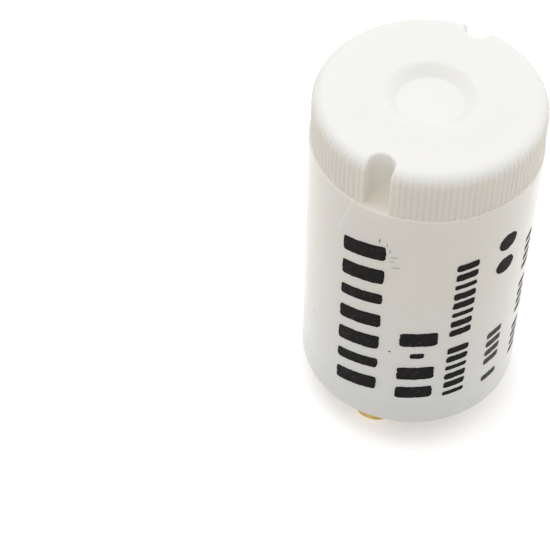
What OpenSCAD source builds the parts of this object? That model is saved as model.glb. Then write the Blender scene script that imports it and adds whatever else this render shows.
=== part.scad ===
// Fluorescent lamp starter: a moulded canister with a ribbed grip band, closed
// at its mouth by a base disc that carries two turned contact pins. Inside, a
// glow lamp with a bimetal strip stands over a small wound capacitor.
// The starter stands on its pins: z = 0 is the plane of the pin end faces, the
// barrel's axis is the Z axis, and pins and grip notches lie on the Y axis.

/* [Canister] */
// Outside diameter of the barrel
barrel_d = 21; // [20:0.1:21.5]
// Height of the barrel, from its open rim to the ledge under the ribs
barrel_h = 28.9; // [28:0.1:31]
// Height of the ribbed band, from the ledge to the flat top
band_h = 5.05; // [4:0.05:6]
// How far the ribbed band is set in from the barrel, on each side
band_inset = 0.15; // [0.1:0.05:0.3]
// Round between the ribbed band and the flat top
top_round = 1.3; // [0.8:0.1:1.8]
// Round on the outer edge of the open rim
rim_round = 0.2; // [0.1:0.05:0.3]
// Round on the barrel's edge at the ledge
ledge_round = 0.1; // [0.05:0.05:0.1]
// Thickness of the barrel's wall above the base disc
wall_t = 0.9; // [0.8:0.05:1.2]
// Thickness of the wall round the mouth, where the base disc sits
mouth_wall_t = 0.5; // [0.4:0.05:0.6]
// Thickness of the top
top_t = 1.1; // [0.8:0.1:1.5]
// Height of the snap bead that holds the base disc in the mouth
bead_proud = 0.2; // [0.1:0.05:0.3]
// Width of the snap bead, along the axis
bead_w = 0.5; // [0.4:0.1:0.8]

/* [Grip ribs] */
// Number of fine upright grooves round the band
rib_count = 120; // [60:4:144]
// Depth of the grooves
rib_depth = 0.16; // [0.08:0.02:0.24]
// Width of a groove at the band's surface
groove_w = 0.3; // [0.2:0.02:0.36]

/* [Grip notches] */
// Width of each of the two notches
notch_w = 2.4; // [1.6:0.1:3]
// Depth of each notch, in from the band's surface
notch_depth = 1.95; // [1.4:0.05:2.4]
// Round at the foot of each notch
notch_foot_round = 1.2; // [0.6:0.1:1.8]
// Thickness of the wall behind each notch
notch_wall_t = 0.8; // [0.6:0.1:1.2]

/* [Centre dimple] */
// Diameter of the dimple at the flat top
dimple_d = 8.2; // [7:0.1:9]
// Diameter of the dimple's flat floor
dimple_floor_d = 6; // [4.5:0.1:6.5]
// Depth of the dimple
dimple_depth = 0.95; // [0.5:0.05:1.3]
// Round on the dimple's lip
dimple_lip = 0.9; // [0.3:0.1:1.2]
// Round at the foot of the dimple's wall
dimple_foot = 0.6; // [0.3:0.1:0.9]

/* [Base disc] */
// How far the disc lies inside the open rim
disc_recess = 1.5; // [1:0.1:2]
// Thickness of the disc
disc_t = 1; // [0.8:0.1:1.5]
// Gap between the disc's edge and the mouth
disc_gap = 0.05; // [0:0.01:0.1]
// Diameter of the hole in the middle of the disc
vent_d = 3; // [2:0.1:4]

/* [Contact pins] */
// Distance between the two pins
pin_pitch = 12.7; // [12.4:0.1:13]
// How far the pins stand out past the open rim
pin_proud = 3.4; // [3:0.1:4.5]
// Diameter of a pin's head
pin_head_d = 4.8; // [4.5:0.1:5]
// Height of a pin's head
pin_head_h = 1.9; // [1.6:0.1:2.2]
// Chamfer between the head's side and its end face
pin_chamfer = 0.35; // [0.2:0.05:0.5]
// Diameter of the neck above the head
neck_d = 2.8; // [2.6:0.1:3]
// How much wider the neck gets at its foot and at its collar
neck_flare = 0.2; // [0.1:0.05:0.4]
// Height of the collar at the disc
collar_h = 0.8; // [0.5:0.1:1]
// Height of the cone between neck and head
neck_cone_h = 1; // [0.6:0.1:1.2]
// Diameter of the shank that passes through the disc
shank_d = 2; // [1.8:0.1:2.4]
// Gap between the shank and its hole
shank_gap = 0.03; // [0:0.01:0.06]
// Diameter of the riveted end inside
rivet_d = 3.4; // [3:0.1:3.8]
// Height of the riveted end above the disc
rivet_h = 0.8; // [0.6:0.1:1.2]
// Diameter of the blind bore in the riveted end
pin_bore_d = 1.3; // [1.2:0.05:1.4]
// Depth of the blind bore below the disc's inner face
pin_bore_depth = 1.5; // [1:0.1:2]

/* [Capacitor] */
// Width of the wound body, across the pins' diameter
cap_w = 8.5; // [7:0.1:10]
// Length of the wound body, along the pins' diameter
cap_l = 6.8; // [5:0.1:7.2]
// Thickness of the wound body
cap_t = 3.8; // [3:0.1:4]

/* [Glow lamp] */
// Outside diameter of the glass bulb
bulb_d = 8.2; // [7.6:0.1:9]
// Thickness of the glass
glass_t = 0.6; // [0.5:0.1:0.8]
// Room left between the tip of the glass and the boss under the dimple
tip_clear = 1.4; // [1:0.1:3]
// Height of the press that seals the leads in
press_h = 4.2; // [3:0.1:4.6]
// Width of the press
press_w = 5.6; // [5:0.1:6]
// Thickness of the press
press_t = 2.2; // [1.8:0.1:2.6]
// Height of the sealed-off tip
tip_h = 1.2; // [0.8:0.1:1.4]
// Diameter of the sealed-off tip at its foot
tip_foot_d = 2.2; // [1.8:0.1:2.6]
// Diameter of the sealed-off tip at its end
tip_end_d = 0.8; // [0.6:0.1:1.2]
// Distance between the two lamp leads in the press
lead_pitch = 2.6; // [2.2:0.1:3]
// Width of the bimetal strip and of the fixed electrode
strip_w = 1.6; // [1.2:0.1:2]
// Thickness of the bimetal strip and of the fixed electrode
strip_t = 0.25; // [0.2:0.05:0.3]
// Height of the electrodes' feet above the press
electrode_rise = 1.8; // [1.5:0.1:2.4]
// Height of the fixed electrode
electrode_h = 7.6; // [6:0.1:8]
// Gap between the cold bimetal strip and the fixed electrode
contact_gap = 0.5; // [0.3:0.05:0.7]

/* [Wires] */
// Diameter of every lead wire
wire_d = 0.45; // [0.4:0.01:0.5]
// Distance between the two wires in one pin's bore
wire_pitch = 0.64; // [0.6:0.02:0.7]
// Bend radius of the wires
wire_bend = 0.9; // [0.7:0.05:0.9]
// Height of the lamp leads' run above the capacitor
lead_clear = 0.6; // [0.4:0.1:1]
// Height of the solder above the riveted end
solder_h = 0.7; // [0.4:0.1:0.9]

/* [Hidden] */
$fn = 64;
eps = 0.01;

// Heights above the plane of the pin end faces
rim_z = pin_proud;
disc_z = rim_z + disc_recess;
disc_top = disc_z + disc_t;
ledge_z = rim_z + barrel_h;
top_z = ledge_z + band_h;

// Radii of the canister
barrel_r = barrel_d / 2;
band_r = barrel_r - band_inset;
groove_r = band_r - rib_depth;
inner_r = barrel_r - wall_t;
mouth_r = barrel_r - mouth_wall_t;
disc_r = mouth_r - disc_gap;
notch_r = band_r - notch_depth;

// The ends of the two pins' common diameter
pin_y = pin_pitch / 2;
rivet_top = disc_top + rivet_h;
bore_foot = disc_top - pin_bore_depth;

// The lamp stands above the capacitor on its own leads, and its glass reaches
// up to the room left under the boss
cap_top = disc_top + cap_t;
run_z = cap_top + lead_clear + wire_d / 2;
press_z = run_z + wire_bend;
bulb_z = press_z + press_h;
boss_z = top_z - top_t - dimple_depth;
bulb_top = boss_z - tip_clear - tip_h + glass_t / 2;
strip_z = bulb_z + electrode_rise;
lead_y = lead_pitch / 2;
wire_r = wire_d / 2;

// A band of revolution with a true round at its upper outer edge
module rounded_post(r, h, round_r) {
    rotate_extrude() {
        square([r - round_r, h]);
        square([r, h - round_r]);
        translate([r - round_r, h - round_r]) intersection() {
            circle(r = round_r);
            square(round_r);
        }
    }
}

// Outline of the band in plan: a ring of crests with fine V grooves between
// them. The crests reach past the band's surface, which trims them.
module grooved_outline() {
    past = 0.03;
    step = 360 / rib_count;
    half = groove_w / 2 * (rib_depth + past) / rib_depth;
    half_angle = asin(half / (band_r + past));
    polygon([for (i = [0 : rib_count - 1])
        for (p = [[groove_r, 0], [band_r + past, half_angle],
                  [band_r + past, step - half_angle]])
            let (a = i * step + p[1]) [p[0] * cos(a), p[0] * sin(a)]]);
}

// The barrel up to its ledge, with both outer edges rounded
module barrel_outside() {
    translate([0, 0, rim_z]) rotate_extrude() {
        translate([0, rim_round]) square([barrel_r, barrel_h - rim_round - ledge_round]);
        square([barrel_r - rim_round, barrel_h]);
        translate([barrel_r - rim_round, rim_round]) circle(r = rim_round);
        translate([barrel_r - rim_round - eps, barrel_h / 2])
            square([rim_round - ledge_round + eps, barrel_h / 2]);
        translate([barrel_r - ledge_round, barrel_h - ledge_round]) circle(r = ledge_round);
    }
}

// The ribbed band above the ledge; it starts a little inside the barrel
module band_outside() {
    intersection() {
        translate([0, 0, ledge_z - 1]) rounded_post(band_r, band_h + 1, top_round);
        translate([0, 0, ledge_z - 1]) linear_extrude(band_h + 2) grooved_outline();
    }
}

// The dimple as a solid to cut away: its lip and the foot of its wall are
// rounded by short arcs, each tangent to the sloping wall
module dimple() {
    wide = dimple_d / 2;
    narrow = dimple_floor_d / 2;
    slope = atan2(dimple_depth, wide - narrow);
    lip = dimple_lip * tan(slope / 2);
    foot = dimple_foot * tan(slope / 2);
    steps = 6;
    translate([0, 0, top_z]) rotate_extrude()
        polygon(concat([[0, -dimple_depth]],
            [for (i = [0 : steps]) let (a = slope * i / steps)
                [narrow - foot + dimple_foot * sin(a),
                 -dimple_depth + dimple_foot * (1 - cos(a))]],
            [for (i = [steps : -1 : 0]) let (a = slope * i / steps)
                [wide + lip - dimple_lip * sin(a), -dimple_lip * (1 - cos(a))]],
            [[wide + lip, 1], [0, 1]]));
}

// The boss under the top that keeps its thickness below the dimple
module dimple_boss() {
    wide = dimple_d / 2;
    narrow = dimple_floor_d / 2;
    translate([0, 0, top_z - top_t]) rotate_extrude()
        polygon([[0, -dimple_depth], [narrow + top_t / 2, -dimple_depth],
                 [wide + top_t / 2, 0], [wide + top_t / 2, 2], [0, 2]]);
}

// One grip notch, on the +Y side: a channel with a round inner end in plan
// and a round foot that runs out on the ledge. grow thickens it all round.
module notch(grow = 0) {
    w = notch_w / 2 + grow;
    inner = notch_r - grow;
    foot = notch_foot_round + grow;
    low = ledge_z - grow;
    reach = barrel_r + 1;
    intersection() {
        translate([0, 0, low - 1]) linear_extrude(band_h + 4) {
            translate([0, inner + w]) circle(r = w);
            translate([-w, inner + w]) square([2 * w, reach - inner - w]);
        }
        rotate([90, 0, 90]) translate([0, 0, -w - 1]) linear_extrude(2 * w + 2) {
            translate([inner + foot, low]) square([reach - inner - foot, band_h + 4]);
            translate([inner, low + foot]) square([reach - inner, band_h + 2]);
            translate([inner + foot, low + foot]) circle(r = foot);
        }
    }
}

// The room inside the canister, which keeps a wall behind dimple and notches
module canister_inside() {
    difference() {
        union() {
            translate([0, 0, rim_z - 1]) cylinder(r = mouth_r, h = disc_top - rim_z + 1);
            translate([0, 0, disc_top - 1])
                rounded_post(inner_r, top_z - top_t - disc_top + 1, top_round);
        }
        dimple_boss();
        for (side = [0, 180]) rotate(side) notch(notch_wall_t);
        snap_bead();
    }
}

// The ring in the mouth that the base disc snaps over
module snap_bead() {
    translate([0, 0, disc_z]) rotate_extrude()
        polygon([[mouth_r + eps, 0], [mouth_r - bead_proud, 0],
                 [mouth_r - bead_proud, -bead_w / 2], [mouth_r + eps, -bead_w]]);
}

module canister() {
    color("whitesmoke") difference() {
        union() {
            barrel_outside();
            band_outside();
        }
        canister_inside();
        dimple();
        for (side = [0, 180]) rotate(side) notch();
    }
}

module base_disc() {
    color([0.37, 0.29, 0.29]) translate([0, 0, disc_z]) difference() {
        cylinder(r = disc_r, h = disc_t);
        translate([0, 0, -1]) cylinder(d = vent_d, h = disc_t + 2);
        for (side = [-1, 1]) translate([0, side * pin_y, -1])
            cylinder(d = shank_d + 2 * shank_gap, h = disc_t + 2);
    }
}

// One turned contact pin, side being -1 or 1 along Y
module contact_pin(side) {
    face_r = pin_head_d / 2 - pin_chamfer;
    neck_r = neck_d / 2;
    collar_z = disc_z - collar_h;
    color("goldenrod") translate([0, side * pin_y, 0]) difference() {
        union() {
            cylinder(r1 = face_r, r2 = pin_head_d / 2, h = pin_chamfer);
            translate([0, 0, pin_chamfer])
                cylinder(d = pin_head_d, h = pin_head_h - pin_chamfer);
            translate([0, 0, pin_head_h])
                cylinder(r1 = neck_r + neck_flare, r2 = neck_r, h = neck_cone_h);
            translate([0, 0, pin_head_h]) cylinder(r = neck_r, h = disc_z - pin_head_h);
            translate([0, 0, collar_z]) cylinder(r = neck_r + neck_flare / 2, h = collar_h);
            translate([0, 0, disc_z]) cylinder(d = shank_d, h = disc_t);
            translate([0, 0, disc_top]) cylinder(d = rivet_d, h = rivet_h / 2);
            translate([0, 0, disc_top + rivet_h / 2])
                cylinder(d1 = rivet_d, d2 = rivet_d - rivet_h, h = rivet_h / 2);
        }
        translate([0, 0, bore_foot]) cylinder(d = pin_bore_d, h = rivet_top - bore_foot + 1);
    }
}

// Solder that fills the bore round the wires and stands up in a low cone
module solder_joint(side) {
    color("silver") difference() {
        translate([0, side * pin_y, 0]) union() {
            translate([0, 0, bore_foot]) cylinder(d = pin_bore_d, h = rivet_top - bore_foot);
            translate([0, 0, rivet_top])
                cylinder(d1 = rivet_d - rivet_h, d2 = pin_bore_d, h = solder_h);
        }
        capacitor_lead(side);
        lamp_lead(side);
    }
}

// The flat wound body, its winding axis along Y, lying on the base disc
module capacitor_body() {
    flat = cap_w - cap_t;
    color("khaki") translate([0, cap_l / 2, disc_top + cap_t / 2]) rotate([90, 0, 0])
        linear_extrude(cap_l) {
            square([flat, cap_t], center = true);
            for (x = [-1, 1]) translate([x * flat / 2, 0]) circle(d = cap_t);
        }
}

// A wire with one square bend: it runs out along +Y at height 0, then turns
// down over its last point, tail long below the run
module bent_wire(run, tail) {
    rotate([-90, 0, 0]) cylinder(r = wire_r, h = run - wire_bend, $fn = 24);
    translate([0, run - wire_bend, -wire_bend]) rotate([90, 0, 90])
        rotate_extrude(angle = 90) translate([wire_bend, 0]) circle(r = wire_r, $fn = 24);
    translate([0, run, -tail]) cylinder(r = wire_r, h = tail - wire_bend, $fn = 24);
}

// From the end of the capacitor's body over to its pin and down into the bore
module capacitor_lead(side) {
    lead_z = disc_top + cap_t / 2;
    color("lightgray") mirror([0, side < 0 ? 1 : 0, 0])
        translate([wire_pitch / 2, cap_l / 2, lead_z])
            bent_wire(pin_y - cap_l / 2, lead_z - bore_foot);
}

// From the lamp's electrode down through the press, out and into the bore
module lamp_lead(side) {
    reach = pin_y - lead_y;
    shift = wire_pitch / 2;
    run = sqrt(reach * reach + shift * shift);
    color("lightgray") mirror([0, side < 0 ? 1 : 0, 0]) translate([0, lead_y, 0])
        rotate(atan2(shift, reach)) {
            translate([0, wire_bend, run_z]) bent_wire(run - wire_bend, run_z - bore_foot);
            translate([0, wire_bend, press_z]) rotate([90, 0, 90])
                rotate_extrude(angle = 90) translate([-wire_bend, 0])
                    circle(r = wire_r, $fn = 24);
            translate([0, 0, press_z])
                cylinder(r = wire_r, h = strip_z + electrode_h / 3 - press_z, $fn = 24);
        }
}

// The clear glass: a flat press at the foot, a tube, a domed end and its tip
module lamp_glass() {
    bulb_r = bulb_d / 2;
    bore_r = bulb_r - glass_t;
    foot_z = bulb_z + bulb_r;
    dome_z = bulb_top - bulb_r;
    color([0.75, 0.85, 0.9, 0.5]) difference() {
        union() {
            translate([0, 0, foot_z]) sphere(r = bulb_r);
            translate([0, 0, foot_z]) cylinder(r = bulb_r, h = dome_z - foot_z);
            translate([0, 0, dome_z]) sphere(r = bulb_r);
            translate([0, 0, bulb_top - glass_t / 2])
                cylinder(d1 = tip_foot_d, d2 = tip_end_d, h = tip_h);
            translate([0, 0, press_z]) linear_extrude(press_h + glass_t) {
                square([press_t, press_w - press_t], center = true);
                for (y = [-1, 1]) translate([0, y * (press_w - press_t) / 2])
                    circle(d = press_t);
            }
        }
        translate([0, 0, foot_z]) sphere(r = bore_r);
        translate([0, 0, foot_z]) cylinder(r = bore_r, h = dome_z - foot_z);
        translate([0, 0, dome_z]) sphere(r = bore_r);
        for (y = [-1, 1]) translate([0, y * lead_y, press_z - 1])
            cylinder(r = wire_r, h = press_h + 4, $fn = 24);
    }
}

// The straight strip, welded to the inner side of its lead
module fixed_electrode() {
    color("gray") translate([-strip_w / 2, -lead_y + wire_r, strip_z])
        cube([strip_w, strip_t, electrode_h]);
}

// The bent strip, welded to the outer side of the other lead: up, over and
// down to the contact gap in front of the fixed electrode
module bimetal_strip() {
    outer_y = lead_y + wire_r;
    inner_y = -lead_y + wire_r + strip_t + contact_gap;
    bend_r = (outer_y + strip_t - inner_y) / 2;
    bend_y = (outer_y + strip_t + inner_y) / 2;
    leg_top = strip_z + electrode_h;
    inner_leg = electrode_h * 2 / 3;
    color("darkgray") rotate([90, 0, 90]) translate([0, 0, -strip_w / 2])
        linear_extrude(strip_w) {
            translate([outer_y, strip_z]) square([strip_t, electrode_h]);
            translate([inner_y, leg_top - inner_leg]) square([strip_t, inner_leg]);
            translate([bend_y, leg_top]) difference() {
                circle(r = bend_r);
                circle(r = bend_r - strip_t);
                translate([-bend_r - 1, -bend_r - 1 - eps])
                    square([2 * bend_r + 2, bend_r + 1]);
            }
        }
}

canister();
base_disc();
contact_pin(-1);  // contact_pin_a
contact_pin(1);  // contact_pin_b
solder_joint(-1);  // solder_joint_a
solder_joint(1);  // solder_joint_b
capacitor_body();
capacitor_lead(-1);  // capacitor_lead_a
capacitor_lead(1);  // capacitor_lead_b
lamp_glass();
lamp_lead(-1);  // lamp_lead_a
lamp_lead(1);  // lamp_lead_b
fixed_electrode();
bimetal_strip();
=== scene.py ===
"""Looks of a fluorescent lamp starter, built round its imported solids.

The canister, the base disc and the two contact pins are modelled again here
with their soft edges, fine ribs and cut paper; the works inside keep their
solids and get their finishes. Sizes are in millimetres until a mesh is made.
"""
import logging
import math
from dataclasses import dataclass
from enum import Enum
from typing import Any, Callable

import bmesh
import bpy
from mathutils import Euler, Matrix, Vector, noise


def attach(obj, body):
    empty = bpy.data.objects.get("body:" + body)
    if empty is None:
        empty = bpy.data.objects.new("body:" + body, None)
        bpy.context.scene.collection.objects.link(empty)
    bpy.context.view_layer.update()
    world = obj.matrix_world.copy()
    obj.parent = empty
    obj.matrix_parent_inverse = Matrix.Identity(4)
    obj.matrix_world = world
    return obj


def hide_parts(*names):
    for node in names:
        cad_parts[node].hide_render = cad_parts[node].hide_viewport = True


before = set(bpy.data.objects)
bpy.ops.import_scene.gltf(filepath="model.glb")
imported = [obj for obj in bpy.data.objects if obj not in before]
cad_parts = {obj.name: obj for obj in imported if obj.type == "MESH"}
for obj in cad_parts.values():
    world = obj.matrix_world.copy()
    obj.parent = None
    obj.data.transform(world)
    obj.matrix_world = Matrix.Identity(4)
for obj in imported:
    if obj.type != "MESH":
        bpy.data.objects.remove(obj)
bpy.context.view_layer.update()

MM = 0.001
BODY = "root"
log = logging.getLogger("starter")


# Helpers

def linear(code: str) -> tuple[float, float, float, float]:
    """Turn an sRGB hex value into a linear colour.

    Args:
        code: the colour as "#RRGGBB".

    Returns:
        Red, green, blue and an alpha of 1, each from 0 to 1.
    """
    parts = [int(code[i:i + 2], 16) / 255 for i in (1, 3, 5)]
    red, green, blue = [p / 12.92 if p <= 0.04045 else ((p + 0.055) / 1.055) ** 2.4
                        for p in parts]
    return (red, green, blue, 1.0)


def per_metre(size_mm: float) -> float:
    """Give the texture scale at which one feature is size_mm wide."""
    return 1 / (size_mm * MM)


def add_node(tree: bpy.types.NodeTree, kind: str, inputs: dict[Any, Any] | None = None,
             **settings: Any) -> bpy.types.Node:
    """Add one node to a tree.

    Args:
        tree: the material's or world's node tree.
        kind: the node's type, such as "ShaderNodeMath".
        inputs: for each input, by name or number, a value or another node's output.
        settings: the node's own properties.

    Returns:
        The new node.
    """
    node = tree.nodes.new(kind)
    for name, value in settings.items():
        setattr(node, name, value)
    for key, value in (inputs or {}).items():
        if isinstance(value, bpy.types.NodeSocket):
            tree.links.new(value, node.inputs[key])
        else:
            node.inputs[key].default_value = value
    return node


def distance(tree: bpy.types.NodeTree, x: bpy.types.NodeSocket,
             y: bpy.types.NodeSocket) -> bpy.types.NodeSocket:
    """Measure how far a place lies from an axis along Z.

    Args:
        tree: the material's tree.
        x: the place's X, counted from the axis.
        y: the place's Y, counted from the axis.

    Returns:
        The distance.
    """
    flat = add_node(tree, "ShaderNodeCombineXYZ", {"X": x, "Y": y})
    return add_node(tree, "ShaderNodeVectorMath", {0: flat.outputs[0]},
                    operation="LENGTH").outputs["Value"]


def new_piece(name: str, bm: bmesh.types.BMesh, materials: list[bpy.types.Material],
              smooth_deg: float = 40.0) -> bpy.types.Object:
    """Make a piece from a bmesh that is in millimetres, and free the bmesh.

    Args:
        name: the piece's name.
        bm: its shape, with faces pointing outwards.
        materials: its materials, in the order of the faces' material numbers.
        smooth_deg: edges sharper than this stay sharp.

    Returns:
        The object, at the origin, linked to the scene.
    """
    bmesh.ops.scale(bm, vec=Vector((MM, MM, MM)), verts=bm.verts)
    mesh = bpy.data.meshes.new(name)
    bm.to_mesh(mesh)
    bm.free()
    for material in materials:
        mesh.materials.append(material)
    mesh.shade_smooth()
    mesh.set_sharp_from_angle(angle=math.radians(smooth_deg))
    piece = bpy.data.objects.new(name, mesh)
    bpy.context.scene.collection.objects.link(piece)
    log.info("%s: %d faces", name, len(mesh.polygons))
    return piece


def arc(centre_r: float, centre_z: float, radius: float, start_deg: float,
        end_deg: float, steps: int) -> list[tuple[float, float]]:
    """Give the points of an arc in the (r, z) plane, both ends included.

    Args:
        centre_r: the centre's distance from the axis.
        centre_z: the centre's height.
        radius: the arc's radius.
        start_deg: the direction of its first point, from outwards towards up.
        end_deg: the direction of its last point.
        steps: how many chords it has.

    Returns:
        Radius and height of each point.
    """
    angles = [math.radians(start_deg + (end_deg - start_deg) * i / steps)
              for i in range(steps + 1)]
    return [(centre_r + radius * math.cos(a), centre_z + radius * math.sin(a))
            for a in angles]


def loft(columns: int, rows: list[Callable[[int], Vector]], fan: bool) -> bmesh.types.BMesh:
    """Loft a closed skin through rows of points.

    Args:
        columns: how many points each row has.
        rows: for each row, the place of its point number i.
        fan: whether the end faces become fans round their middle, as suits round ones.

    Returns:
        The closed mesh, its two end rows filled.
    """
    bm = bmesh.new()
    layer = bm.verts.layers.int.new("column")
    ring = bmesh.ops.create_circle(bm, segments=columns, radius=1.0)["verts"]
    bm.verts.index_update()
    for number, vert in enumerate(ring):
        vert[layer] = number
        vert.co = rows[0](number)
    edges = list(bm.edges)
    first = list(edges)
    for row in rows[1:]:
        made = bmesh.ops.extrude_edge_only(bm, edges=edges)["geom"]
        for vert in made:
            if isinstance(vert, bmesh.types.BMVert):
                vert.co = row(vert[layer])
        edges = [e for e in made if isinstance(e, bmesh.types.BMEdge) and e.is_boundary]
    ends = bmesh.ops.holes_fill(bm, edges=first, sides=0)["faces"]
    ends += bmesh.ops.holes_fill(bm, edges=edges, sides=0)["faces"]
    if fan:
        bmesh.ops.poke(bm, faces=ends)
    else:
        bmesh.ops.triangulate(bm, faces=ends)
    bmesh.ops.recalc_face_normals(bm, faces=bm.faces)
    if bm.calc_volume(signed=True) < 0:
        bmesh.ops.reverse_faces(bm, faces=bm.faces)
    return bm


# Sizes

@dataclass(frozen=True)
class StarterSizes:
    """The starter's sizes in millimetres, as in its solids."""

    rim_z: float = 3.4
    ledge_z: float = 32.3
    top_z: float = 37.35
    barrel_r: float = 10.49
    band_r: float = 10.35
    inner_r: float = 9.6
    mouth_r: float = 10.0
    disc_z: float = 4.9
    disc_top: float = 5.9
    top_t: float = 1.1
    top_round: float = 1.3
    rim_round: float = 0.2
    ledge_round: float = 0.1
    pin_y: float = 6.35


SIZES = StarterSizes()


# Finishes

@dataclass(frozen=True)
class Finish:
    """What every finish has: a name, and a way to start its node tree."""

    name: str = "finish"

    def start(self) -> tuple[bpy.types.Material, bpy.types.NodeTree, bpy.types.Node,
                             bpy.types.NodeSocket]:
        """Make an empty material.

        Returns:
            The material, its tree, its shader and the object coordinates.
        """
        material = bpy.data.materials.new(self.name)
        material.use_nodes = True
        tree = material.node_tree
        tree.nodes.clear()
        shader = add_node(tree, "ShaderNodeBsdfPrincipled")
        add_node(tree, "ShaderNodeOutputMaterial", {"Surface": shader.outputs["BSDF"]})
        place = add_node(tree, "ShaderNodeTexCoord").outputs["Object"]
        return material, tree, shader, place


@dataclass(frozen=True)
class MouldedPolycarbonate(Finish):
    """Off-white polycarbonate, injection moulded.

    The barrel comes from a polished cavity and shines softly; the band and the
    top come from a spark-eroded one and are matt. A little light enters the
    wall, so edges look soft. A warm painted shade lies on the ribs and the
    notch walls, in place of the light that bounces between the ribs.
    """

    name: str = "polycarbonate_moulded"
    plastic: str = "#F5F4F0"
    cooler: str = "#F1F2F0"
    warmer: str = "#F5F0E7"
    # painted shade: the warm tint of light bounced between the ribs
    painted_rib_shade: str = "#F2ECE2"
    speck: str = "#8C857A"
    knit: str = "#FFFFFB"
    gloss_rough: float = 0.2
    matt_rough: float = 0.5
    knit_foot: float = 27.3
    knit_top: float = 32.0

    def material(self) -> bpy.types.Material:
        """Build the plastic.

        Returns:
            The finished material.
        """
        material, tree, shader, place = self.start()
        shader.inputs["IOR"].default_value = 1.58
        shader.inputs["Subsurface Weight"].default_value = 0.4
        shader.inputs["Subsurface Radius"].default_value = (0.0016, 0.0013, 0.0011)
        shader.inputs["Subsurface Scale"].default_value = 1.0
        axes = add_node(tree, "ShaderNodeSeparateXYZ", {0: place})
        height = axes.outputs["Z"]
        # the matt part starts at the ledge and takes in band, round and top
        matt = add_node(tree, "ShaderNodeMapRange", {
            "Value": height, "From Min": (SIZES.ledge_z - 0.06) * MM,
            "From Max": (SIZES.ledge_z + 0.06) * MM}).outputs[0]
        # the ribs end where they run out in the top's round, and lie far out
        ribs = add_node(tree, "ShaderNodeMapRange", {
            "Value": height, "From Min": (SIZES.top_z - 0.45) * MM,
            "From Max": (SIZES.top_z - 1.3) * MM}).outputs[0]
        reach = distance(tree, axes.outputs["X"], axes.outputs["Y"])
        outer = add_node(tree, "ShaderNodeMapRange", {
            "Value": reach, "From Min": 7.5 * MM, "From Max": 9.0 * MM}).outputs[0]
        # painted shade: a warm tint on the ribbed band and the notch walls, above the ledge and
        # far from the axis
        painted_rib_shade = matt
        for share in (ribs, outer):
            painted_rib_shade = add_node(tree, "ShaderNodeMath", {0: painted_rib_shade, 1: share},
                             operation="MULTIPLY").outputs[0]
        # clouds of slightly cooler tint, about 7 mm across
        cloud = add_node(tree, "ShaderNodeTexNoise", {
            "Vector": place, "Scale": per_metre(7), "Detail": 2.0})
        tint = add_node(tree, "ShaderNodeMix", {
            0: cloud.outputs["Fac"], 6: linear(self.plastic), 7: linear(self.cooler)},
            data_type="RGBA")
        # the barrel turns a touch warmer upwards, from 8 to 22 mm up
        warmer_upwards = add_node(tree, "ShaderNodeMapRange", {
            "Value": height, "From Min": 8 * MM, "From Max": 22 * MM}).outputs[0]
        wall = add_node(tree, "ShaderNodeMath", {0: 1.0, 1: matt},
                        operation="SUBTRACT").outputs[0]
        warmer_upwards = add_node(tree, "ShaderNodeMath", {0: warmer_upwards, 1: wall},
                       operation="MULTIPLY").outputs[0]
        tint = add_node(tree, "ShaderNodeMix", {
            0: warmer_upwards, 6: tint.outputs[2], 7: linear(self.warmer)}, data_type="RGBA")
        # lay the warm painted shade over the ribs and notch walls
        tint = add_node(tree, "ShaderNodeMix", {
            0: painted_rib_shade, 6: tint.outputs[2], 7: linear(self.painted_rib_shade)}, data_type="RGBA")
        # specks of degraded resin, up to 0.2 mm across and some 4 mm apart
        cells = add_node(tree, "ShaderNodeTexVoronoi", {
            "Vector": place, "Scale": per_metre(4), "Randomness": 1.0})
        speck = add_node(tree, "ShaderNodeMapRange", {
            "Value": cells.outputs["Distance"], "From Min": 0.022, "From Max": 0.034,
            "To Min": 0.7, "To Max": 0.0}).outputs[0]
        tint = add_node(tree, "ShaderNodeMix", {
            0: speck, 6: tint.outputs[2], 7: linear(self.speck)}, data_type="RGBA")
        tree.links.new(self.flow_line(tree, axes, tint.outputs[2]), shader.inputs["Base Color"])
        # the gloss is a little uneven where hands have been
        touch = add_node(tree, "ShaderNodeTexNoise", {
            "Vector": place, "Scale": per_metre(3), "Detail": 3.0})
        gloss = add_node(tree, "ShaderNodeMapRange", {
            "Value": touch.outputs["Fac"], "To Min": self.gloss_rough - 0.05,
            "To Max": self.gloss_rough + 0.08}).outputs[0]
        rough = add_node(tree, "ShaderNodeMix", {
            0: matt, 2: gloss, 3: self.matt_rough}).outputs[0]
        tree.links.new(rough, shader.inputs["Roughness"])
        # spark-eroded grain 0.12 mm wide on the matt part, drawn a little
        # coarser than the real 0.06 mm so that it shows
        grain = add_node(tree, "ShaderNodeTexNoise", {
            "Vector": place, "Scale": per_metre(0.12), "Detail": 3.0})
        grain_bump = add_node(tree, "ShaderNodeBump", {
            "Height": grain.outputs["Fac"], "Strength": 0.35, "Distance": 0.008 * MM})
        # sink and flow waves of the polished wall, about 5 mm long
        wave = add_node(tree, "ShaderNodeTexNoise", {
            "Vector": place, "Scale": per_metre(5), "Detail": 1.0})
        wave_bump = add_node(tree, "ShaderNodeBump", {
            "Height": wave.outputs["Fac"], "Strength": 0.6, "Distance": 0.02 * MM})
        normal = add_node(tree, "ShaderNodeMix", {
            0: matt, 4: wave_bump.outputs[0], 5: grain_bump.outputs[0]}, data_type="VECTOR")
        tree.links.new(normal.outputs[1], shader.inputs["Normal"])
        return material

    def flow_line(self, tree: bpy.types.NodeTree, axes: bpy.types.Node,
                  tint: bpy.types.NodeSocket) -> bpy.types.NodeSocket:
        """Draw the pale knit line that the melt leaves below the near notch.

        Args:
            tree: the material's tree.
            axes: the node that gives X, Y and Z.
            tint: the colour so far.

        Returns:
            The colour with the line on it.
        """
        around = add_node(tree, "ShaderNodeMath", {
            0: axes.outputs["Y"], 1: axes.outputs["X"]}, operation="ARCTAN2").outputs[0]
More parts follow.
